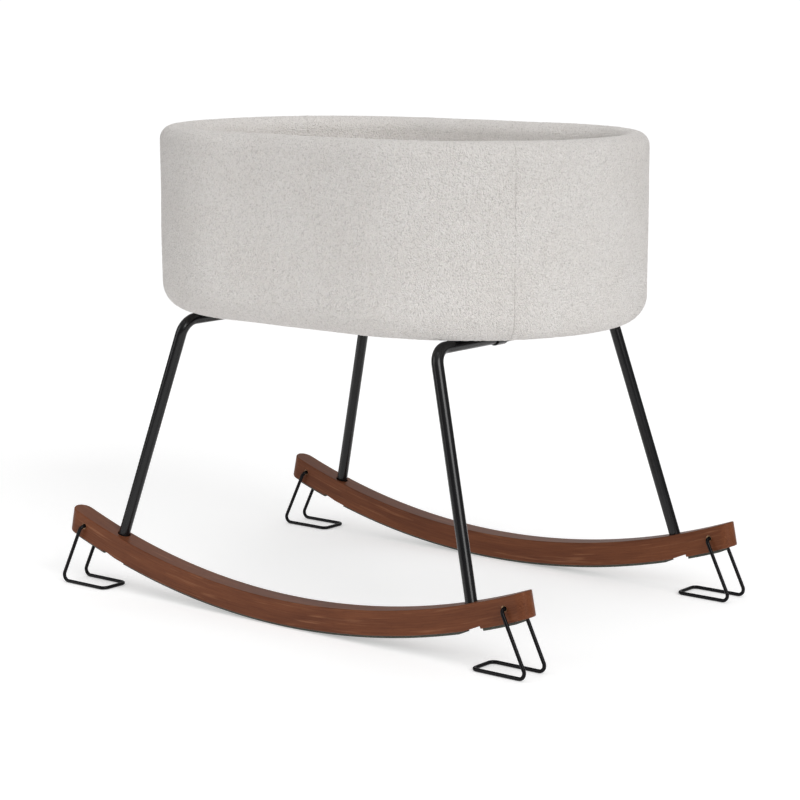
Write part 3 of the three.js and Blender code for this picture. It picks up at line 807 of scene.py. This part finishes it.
def lean_shift():
    """How much further round the arc the top of the tip is than its bottom. The tip is nearer
    upright than the arc's own radius."""
    rise = ROCKER_HEIGHT * math.cos(ROCKER_END_LEAN)
    top_x = ROCKER_TIP - rise * math.tan(ROCKER_END_LEAN)
    return angle_at(top_x, ROCKER_RADIUS - ROCKER_HEIGHT) - TIP_ANGLE


def rocker_point(length, y, height):
    """A point of the rocker, from its distance along the arc and its height over the underside."""
    angle = length / ROCKER_RADIUS
    blend = max(0.0, 1 - (TIP_ANGLE - abs(angle)) * ROCKER_RADIUS / TIP_EASE)
    ease = blend * blend * (3 - 2 * blend)
    angle += math.copysign(lean_shift() * ease * height / ROCKER_HEIGHT, angle)
    x, z = on_arc(ROCKER_RADIUS - height, angle)
    return x, y, z


def stadium(half_length, half_width, straight_count, round_count):
    """Points anticlockwise round a long bar with half-round ends, from the middle of one side."""
    straight = half_length - half_width
    side = np.linspace(0, straight, straight_count, endpoint=False)
    turn = np.linspace(-math.pi / 2, math.pi / 2, round_count + 1)
    quarter = [(s, -half_width) for s in side]
    tip = [(straight + half_width * math.cos(a), half_width * math.sin(a)) for a in turn]
    back = [(s, half_width) for s in side[:0:-1]]
    half = quarter + tip + back
    return half + [(-s, -y) for s, y in half]


def rocker_mesh(name, plane):
    """A stadium in plan, rounded over at its top and bottom edges, and bent along the arc."""
    turn = np.radians(np.linspace(0, 90, ROCKER_EDGE_STEPS + 1))
    edge = [(ROCKER_EDGE * (1 - math.sin(a)), ROCKER_EDGE * (1 - math.cos(a))) for a in turn]
    profile = edge + [(inset, ROCKER_HEIGHT - height) for inset, height in edge[::-1]]
    rings = []
    for inset, height in profile:
        half_length, half_width = TIP_ANGLE * ROCKER_RADIUS - inset, ROCKER_THICK / 2 - inset
        outline = stadium(half_length, half_width, ROCKER_SIDE_POINTS, ROCKER_TIP_STEPS)
        rings.append([rocker_point(s, y, height) for s, y in outline])
    count = len(rings[0])
    points = [(x, plane + y, z) for i in range(count) for x, y, z in (ring[i] for ring in rings)]
    rows = len(rings)
    faces = grid_faces(count, rows, True, False)
    past_tip = ROCKER_SIDE_POINTS + ROCKER_TIP_STEPS // 2 + 1
    order = [(past_tip + k) % count for k in range(count)]
    faces += ladder_faces([i * rows for i in order], True)
    faces += ladder_faces([i * rows + rows - 1 for i in order], False)
    return make_mesh(name, points, faces)


def notch_cutter(row, end):
    """A wedge across the underside, with its step at the outer end."""
    inner = on_arc(ROCKER_RADIUS, angle_at(NOTCH_FROM))
    step = on_arc(ROCKER_RADIUS - NOTCH_DEPTH, angle_at(NOTCH_TO))
    below = [on_arc(ROCKER_RADIUS + NOTCH_DEPTH, angle_at(x)) for x in (NOTCH_TO, NOTCH_FROM)]
    outline = [(end * x, z) for x, z in (inner, *below[::-1], step)]
    if end < 0:
        outline.reverse()
    plane = row * ROCKER_PLANE
    return prism("cutter", outline, plane - ROCKER_THICK, plane + ROCKER_THICK)


def rocker_cutters(row):
    cutters = []
    floor = ROCKER_HEIGHT / 2 - SOCKET_DEPTH
    seat = COUNTERBORE_DEPTH - ROCKER_HEIGHT / 2
    for end in (-1, 1):
        middle, axis = socket_middle(row, end), leg_axis(row, end)
        cutters.append(notch_cutter(row, end))
        cutters.append(hole_cutter(middle, axis, floor, ROCKER_HEIGHT, SOCKET_RADIUS))
        cutters.append(hole_cutter(middle, axis, seat - MM, floor + MM, BOLT_HOLE_RADIUS))
        cutters.append(hole_cutter(middle, axis, -ROCKER_HEIGHT, seat, COUNTERBORE_RADIUS))
        for side in (-1, 1):
            y = row * ROCKER_PLANE + side * ROCKER_THICK / 2
            face = Vector((end * STOP_HINGE_X, y, STOP_HINGE_Z))
            inward = Vector((0, -side, 0))
            cutters.append(hole_cutter(face, inward, -MM, PIN_HOLE_DEPTH, PIN_HOLE_RADIUS,
                                       PIN_COUNTERSINK))
    return cutters


def build_rockers():
    for name, row in ROWS.items():
        mesh = rocker_mesh(f"curved_rocker_{name}", row * ROCKER_PLANE)
        piece = add_object(f"curved_rocker_{name}", mesh)
        cut_out(piece, rocker_cutters(row))
        smooth_by_angle(piece, 32)
        finish_piece(piece, STAINED_WOOD, [f"rocker_{name}"])


def build_strips():
    spans = {
        "middle": (-MIDDLE_STRIP_TO, MIDDLE_STRIP_TO),
        "right": (NOTCH_TO, END_STRIP_TO),
        "left": (-END_STRIP_TO, -NOTCH_TO),
    }
    outer = ROCKER_RADIUS + GAP / 3 + STRIP_THICK
    for row_name, row in ROWS.items():
        for place, (start, stop) in spans.items():
            angles = spaced(angle_at(start), angle_at(stop), PLAIN_STEP / ROCKER_RADIUS)
            outline = [on_arc(outer, a) for a in angles]
            outline += [on_arc(outer - STRIP_THICK, a) for a in angles[::-1]]
            name = f"felt_{row_name}_{place}"
            plane = row * ROCKER_PLANE
            piece = prism(name, outline, plane - STRIP_HALF_WIDTH, plane + STRIP_HALF_WIDTH)
            bevel(piece, 0.5 * MM)
            smooth_by_angle(piece, 40)
            finish_piece(piece, FELT, [f"strip_{row_name}_{place}"])


# ---- Fasteners ----

def headed_screw(name, matrix, shank, length, head, height):
    """A round-headed screw with a hexagon socket. The head's underside is at the matrix's origin
    and the shank runs up its +Z."""
    rim = 0.35  # height of the head's straight rim, as a share of the head
    dome = [
        (head * math.sin(a), -height * (rim + (1 - rim) * math.cos(a)))
        for a in np.radians(range(20, 91, 14))
    ]
    profile = [
        (0, -height), *dome, (head, 0), (shank, 0), (shank, length - MM), (shank - MM, length),
        (0, length),
    ]
    piece = add_object(name, turned(profile, SCREW_SIDES, matrix, name))
    key = HEX_KEY_RADIUS
    top = -height - MM
    floor = -height + HEX_SOCKET_DEPTH
    socket = turned([(0, top), (key, top), (key, floor), (0, floor)], 6, matrix)
    cut_out(piece, [add_object("cutter", socket)])
    smooth_by_angle(piece, 30)
    return piece


def build_fasteners():
    for end_name, end in ENDS.items():
        for row_name, row in ROWS.items():
            place = f"{row_name}_{end_name}"
            axis = leg_axis(row, end)
            seat = COUNTERBORE_DEPTH - ROCKER_HEIGHT / 2 - WASHER_THICK - GAP
            matrix = along(socket_middle(row, end) + axis * seat, axis)
            bolt = headed_screw(f"bolt_{place}", matrix, *LEG_BOLT)
            finish_piece(bolt, ZINC, [f"leg_bolt_{place}"])
            for side in ("inner", "outer"):
                node = f"saddle_screw_{end_name}_{row_name}_{side}"
                low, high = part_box(node)
                middle = (low + high) / 2
                matrix = Matrix.Translation((middle.x, middle.y, low.z + SADDLE_SCREW[-1]))
                name = f"screw_{end_name}_{row_name}_{side}"
                screw = headed_screw(name, matrix, *SADDLE_SCREW)
                finish_piece(screw, ZINC, [node])


# ---- Materials ----

def add_node(tree, kind, inputs=None, **settings):
    """A new node. Each of its inputs is set to a value or linked to a socket."""
    node = tree.nodes.new(f"ShaderNode{kind}")
    for key, value in settings.items():
        setattr(node, key, value)
    for key, value in (inputs or {}).items():
        if isinstance(value, bpy.types.NodeSocket):
            tree.links.new(value, node.inputs[key])
        else:
            node.inputs[key].default_value = value
    return node


class Look:
    """A material being built: a Principled shader and the nodes that feed it."""

    def __init__(self, name, **values):
        self.material = bpy.data.materials.new(name)
        self.material.use_nodes = True
        self.tree = self.material.node_tree
        self.shader = self.tree.nodes["Principled BSDF"]
        for key, value in values.items():
            self.shader.inputs[key.replace("_", " ")].default_value = value
        self.place = self.node("TexCoord").outputs["Object"]

    def node(self, kind, inputs=None, **settings):
        return add_node(self.tree, kind, inputs, **settings)

    def math(self, operation, a, b=0.0):
        return self.node("Math", {0: a, 1: b}, operation=operation).outputs[0]

    def length(self, a, b):
        """The longest side of a right triangle, from its two others."""
        squares = [self.math("POWER", side, 2.0) for side in (a, b)]
        return self.math("SQRT", self.math("ADD", *squares))

    def vector(self, operation, a, b):
        return self.node("VectorMath", {0: a, 1: b}, operation=operation).outputs[0]

    def scaled(self, x, y, z, source=None):
        return self.vector("MULTIPLY", source or self.place, (x, y, z))

    def value(self, name):
        """The number a mesh keeps for each of its points."""
        return self.node("Attribute", attribute_name=name).outputs["Fac"]

    def noise(self, scale, detail=3.0, source=None, roughness=0.5):
        inputs = {
            "Vector": source or self.place, "Scale": scale, "Detail": detail,
            "Roughness": roughness,
        }
        return self.node("TexNoise", inputs).outputs["Fac"]

    def cells(self, scale, source=None):
        inputs = {"Vector": source or self.place, "Scale": scale}
        return self.node("TexVoronoi", inputs).outputs["Distance"]

    def ramp(self, value, *stops):
        """A colour ramp; each stop is (position, colour)."""
        node = self.node("ValToRGB", {"Fac": value})
        elements = node.color_ramp.elements
        while len(elements) < len(stops):
            elements.new(0.5)
        for element, (position, color) in zip(elements, stops):
            element.position = position
            element.color = (*color, 1)
        return node.outputs["Color"]

    def mix(self, fac, a, b, blend="MIX"):
        node = self.node("MixRGB", {"Fac": fac, "Color1": a, "Color2": b}, blend_type=blend)
        return node.outputs["Color"]

    def between(self, value, low, high):
        """A 0 to 1 value spread over a range."""
        return self.node("MapRange", {"Value": value, "To Min": low, "To Max": high}).outputs[0]

    def wire(self, socket, value):
        self.tree.links.new(value, self.shader.inputs[socket])

    def bump(self, height, strength, distance):
        inputs = {"Height": height, "Strength": strength, "Distance": distance}
        self.wire("Normal", self.node("Bump", inputs).outputs[0])


def boucle():
    """Looped wool, with painted shade: its colour is darker in the gaps between its loops and
    lighter on their tops.
    """
    look = Look("boucle", Roughness=0.95, Sheen_Weight=0.1, Sheen_Roughness=0.5)
    pile = look.value("pile")
    drift = look.node("TexNoise", {"Vector": look.place, "Scale": 260.0, "Detail": 2.0})
    bent = look.vector("ADD", look.place, look.scaled(*[2.4 * MM] * 3, drift.outputs["Color"]))
    loops = look.cells(440.0, bent)
    fuzz = look.noise(1300.0, 2.0)
    cloud = look.noise(14.0, 4.0)
    # Painted shade: the colour darkens where the mesh's lumps are low, in the gaps between them.
    tone = look.ramp(
        pile,
        (0.0, (0.835, 0.803, 0.775)),
        (0.35, (0.87, 0.838, 0.81)),
        (0.8, (0.90, 0.868, 0.84)),
    )
    # Painted shade: the colour darkens towards the corners of the loop cells, in the gaps between
    # the loops.
    shade = look.ramp(
        loops,
        (0.3, (1.0, 1.0, 1.0)),
        (0.6, (0.95, 0.945, 0.94)),
        (0.85, (0.68, 0.67, 0.66)),
    )
    tone = look.mix(0.6, tone, shade, "MULTIPLY")
    tint = look.ramp(cloud, (0.35, (0.98, 0.975, 0.97)), (0.65, (1.0, 1.0, 1.0)))
    look.wire("Base Color", look.mix(1.0, tone, tint, "MULTIPLY"))
    height = look.math("SUBTRACT", look.math("MULTIPLY", fuzz, 0.3), loops)
    look.bump(height, 1.0, 2.2 * MM)
    return look.material


def cotton():
    """White cotton with a fine weave."""
    look = Look("mattress_cotton", Roughness=0.85, Sheen_Weight=0.15)
    threads = []
    for direction in ("X", "Y"):
        inputs = {"Vector": look.place, "Scale": 420.0, "Distortion": 0.4}
        threads.append(look.node("TexWave", inputs, bands_direction=direction).outputs["Fac"])
    weave = look.math("MULTIPLY", *threads)
    tone = look.mix(look.noise(60.0), (0.70, 0.69, 0.66, 1), (0.76, 0.75, 0.73, 1))
    gaps = look.math("MULTIPLY", weave, 0.2)
    look.wire("Base Color", look.mix(gaps, tone, (0.56, 0.55, 0.52, 1)))
    look.bump(weave, 0.3, 0.3 * MM)
    return look.material


def foam():
    look = Look("foam", Roughness=1.0)
    pores = look.cells(700.0)
    # Painted shade: the colour darkens in the pores' hollows, where the bump is lowest.
    look.wire("Base Color", look.ramp(pores, (0.1, (0.50, 0.44, 0.28)), (0.5, (0.80, 0.74, 0.55))))
    look.bump(pores, 0.5, 0.8 * MM)
    return look.material


def dust_cloth():
    look = Look("dust_cloth", Roughness=0.95)
    fibres = look.noise(1.0, 4.0, look.scaled(240.0, 900.0, 400.0))
    tone = look.ramp(fibres, (0.3, (0.012, 0.012, 0.013)), (0.7, (0.035, 0.035, 0.037)))
    look.wire("Base Color", tone)
    look.bump(fibres, 0.4, 0.3 * MM)
    return look.material


def plywood():
    look = Look("birch_plywood", Roughness=0.6)
    grain = look.noise(1.0, 6.0, look.scaled(7.0, 130.0, 130.0))
    inputs = {"Vector": look.place, "Scale": 170.0}
    plies = look.node("TexWave", inputs, bands_direction="Z").outputs["Fac"]
    face = look.ramp(grain, (0.3, (0.50, 0.35, 0.20)), (0.7, (0.66, 0.50, 0.32)))
    edge = look.math("MULTIPLY", plies, 0.25)
    look.wire("Base Color", look.mix(edge, face, (0.42, 0.28, 0.15, 1)))
    look.bump(grain, 0.15, 0.3 * MM)
    return look.material


def stained_wood():
    """Bent wood, stained red-brown, and worn bare at the pin holes. The grain follows the arc. Its
    pale streaks along the grain are partly lighter grain and partly painted glints of sheen.
    """
    look = Look("stained_wood", Roughness=0.4, Specular_IOR_Level=0.12)
    axis = look.node("SeparateXYZ", {0: look.place}).outputs
    drop = look.math("SUBTRACT", ARC_CENTRE_Z, axis["Z"])
    radius = look.length(axis["X"], drop)
    run = look.math("MULTIPLY", look.math("ARCTAN2", axis["X"], drop), ROCKER_RADIUS)
    place = look.node("CombineXYZ", {"X": run, "Y": axis["Y"], "Z": radius}).outputs[0]
    fine = look.noise(1.0, 6.0, look.scaled(16.0, 560.0, 560.0, place), 0.65)
    figure = look.noise(1.0, 3.0, look.scaled(4.0, 30.0, 45.0, place))
    pores = look.noise(1.0, 2.0, look.scaled(90.0, 1500.0, 1500.0, place))
    base = look.ramp(figure, (0.3, (0.106, 0.032, 0.014)), (0.7, (0.178, 0.059, 0.025)))
    streak = look.ramp(fine, (0.35, (0.050, 0.015, 0.007)), (0.65, (0.230, 0.080, 0.034)))
    tone = look.mix(0.28, base, streak)
    # Pale streaks along the grain: partly lighter grain, partly a painted glint of sheen.
    grain_and_glint = look.noise(1.0, 2.0, look.scaled(11.0, 260.0, 260.0, place))
    pale = look.ramp(grain_and_glint, (0.62, (0.0,) * 3), (0.74, (0.42,) * 3))
    tone = look.mix(pale, tone, (0.33, 0.14, 0.07, 1))
    fleck = look.math("MULTIPLY", look.math("GREATER_THAN", pores, 0.64), 0.35)
    stained = look.mix(fleck, tone, (0.035, 0.014, 0.008, 1))
    across = look.math("SUBTRACT", look.math("ABSOLUTE", axis["X"]), STOP_HINGE_X)
    rise = look.math("SUBTRACT", axis["Z"], STOP_HINGE_Z)
    at_pin = look.math("LESS_THAN", look.length(across, rise), PIN_HOLE_RADIUS + PIN_COUNTERSINK)
    worn = look.ramp(look.noise(260.0, 2.0), (0.40, (0.25,) * 3), (0.60, (0.9,) * 3))
    bare = look.math("MULTIPLY", at_pin, worn)
    look.wire("Base Color", look.mix(bare, stained, (0.52, 0.34, 0.20, 1)))
    look.wire("Roughness", look.between(fine, 0.30, 0.45))
    look.bump(fine, 0.12, 0.25 * MM)
    return look.material


def black_steel(name, mirror):
    """Satin black powder coat, with its slight orange peel. The mirror value is how strongly
    it reflects."""
    look = Look(name, Roughness=0.24, Specular_IOR_Level=mirror)
    peel = look.noise(900.0, 2.0)
    cloud = look.noise(35.0, 3.0)
    tone = look.ramp(cloud, (0.3, (0.0030, 0.0028, 0.0034)), (0.7, (0.0055, 0.0052, 0.0060)))
    look.wire("Base Color", tone)
    look.wire("Roughness", look.between(peel, 0.2, 0.28))
    look.bump(peel, 0.12, 0.2 * MM)
    return look.material


def zinc():
    look = Look("zinc_plate", Metallic=1.0)
    cloud = look.noise(220.0, 4.0)
    look.wire("Base Color", look.ramp(cloud, (0.3, (0.52, 0.53, 0.54)), (0.7, (0.68, 0.68, 0.67))))
    look.wire("Roughness", look.between(cloud, 0.28, 0.5))
    return look.material


def felt():
    look = Look("pressed_felt", Roughness=0.95)
    fibres = look.noise(1.0, 5.0, look.scaled(300.0, 500.0, 700.0))
    tone = look.ramp(fibres, (0.3, (0.045, 0.050, 0.042)), (0.7, (0.10, 0.11, 0.09)))
    look.wire("Base Color", tone)
    look.bump(fibres, 0.6, 0.5 * MM)
    return look.material


BOUCLE = boucle()
COTTON = cotton()
FOAM = foam()
DUST_CLOTH = dust_cloth()
PLYWOOD = plywood()
STAINED_WOOD = stained_wood()
BLACK_STEEL = black_steel("black_powder_coat", 0.38)
BLACK_WIRE = black_steel("black_wire_coat", 0.12)
ZINC = zinc()
FELT = felt()


def dress_cad_nodes():
    """Finished materials for the hidden CAD pieces that stay as they are."""
    looks = {"plywood": PLYWOOD, "zinc_steel": ZINC}
    slots = {part["node"]: part["material_slot"] for part in frame["record"]["subparts"]}
    for name, node in frame["nodes"].items():
        if not node.hide_render:
            for holder in node.material_slots:
                holder.material = looks[slots[name]]


# ---- Studio ----

def build_floor():
    """A round pale floor. It glows a little, so it is nearly as white as the world behind it."""
    count = 96
    turn = [2 * math.pi * i / count for i in range(count)]
    rim = [(FLOOR_RADIUS * math.cos(a), FLOOR_RADIUS * math.sin(a), 0) for a in turn]
    floor = add_object("floor", make_mesh("floor", rim, [range(count)]))
    floor.location.z = -FLOOR_SINK
    pale = Look("pale_floor", Base_Color=(0.8, 0.8, 0.8, 1), Roughness=0.9,
                Emission_Color=(1, 1, 1, 1), Emission_Strength=FLOOR_GLOW)
    floor.data.materials.append(pale.material)


def build_world():
    """White behind the object. The light from it is soft, strongest overhead and dim below."""
    world = bpy.data.worlds.new("studio")
    world.use_nodes = True
    tree = world.node_tree
    white = (1, 1, 1, 1)
    seen = tree.nodes["Background"]
    seen.inputs["Color"].default_value = white
    seen.inputs["Strength"].default_value = WORLD_SEEN
    direction = add_node(tree, "TexCoord").outputs["Generated"]
    axis = add_node(tree, "SeparateXYZ", {0: direction}).outputs
    spread = {
        "Value": axis["Z"], "From Min": -0.1, "From Max": 0.9,
        "To Min": WORLD_LOW, "To Max": WORLD_HIGH,
    }
    height = add_node(tree, "MapRange", spread, interpolation_type="SMOOTHSTEP")
    lit = add_node(tree, "Background", {"Color": white, "Strength": height.outputs[0]})
    to_camera = add_node(tree, "LightPath").outputs["Is Camera Ray"]
    mixed = add_node(tree, "MixShader", {"Fac": to_camera, 1: lit.outputs[0], 2: seen.outputs[0]})
    tree.links.new(mixed.outputs[0], tree.nodes["World Output"].inputs["Surface"])
    bpy.context.scene.world = world


def build_lights():
    """Wide soft lights: a key from the right, a fill from the front left, one overhead, and a
    weak one from behind."""
    for name, energy, spread, direction in (
        ("key", 1.54, 34, (0.9, -0.36, 0.5)),
        ("fill", 0.52, 36, (-0.62, -0.7, 0.3)),
        ("top", 0.28, 40, (0.12, -0.2, 1.0)),
        ("back", 0.3, 60, (-0.3, 1.0, 0.35)),
    ):
        light = bpy.data.lights.new(name, "SUN")
        light.energy = energy
        light.angle = math.radians(spread)
        lamp = bpy.data.objects.new(name, light)
        lamp.rotation_euler = Vector(direction).to_track_quat("Z", "Y").to_euler()
        bpy.context.scene.collection.objects.link(lamp)


def build_camera():
    data = bpy.data.cameras.new("camera")
    data.lens = CAMERA_LENS
    camera = bpy.data.objects.new("camera", data)
    camera.location = CAMERA_PLACE
    camera.rotation_euler = (math.pi / 2 - CAMERA_DIP, 0, CAMERA_TURN)
    bpy.context.scene.collection.objects.link(camera)
    bpy.context.scene.camera = camera
    bpy.context.scene.view_settings.view_transform = "Standard"


build_camera()
build_cover_panel("cover_rear_panel", SEAM_PLACE)
build_cover_panel("cover_front_panel", SEAM_PLACE + ROUND_LENGTH / 2)
build_paddings()
build_liner()
build_mattress()
build_dust_cover()
build_leg_frames()
build_saddles()
build_wire_stops()
build_rockers()
build_strips()
build_fasteners()
dress_cad_nodes()
build_floor()
build_world()
build_lights()
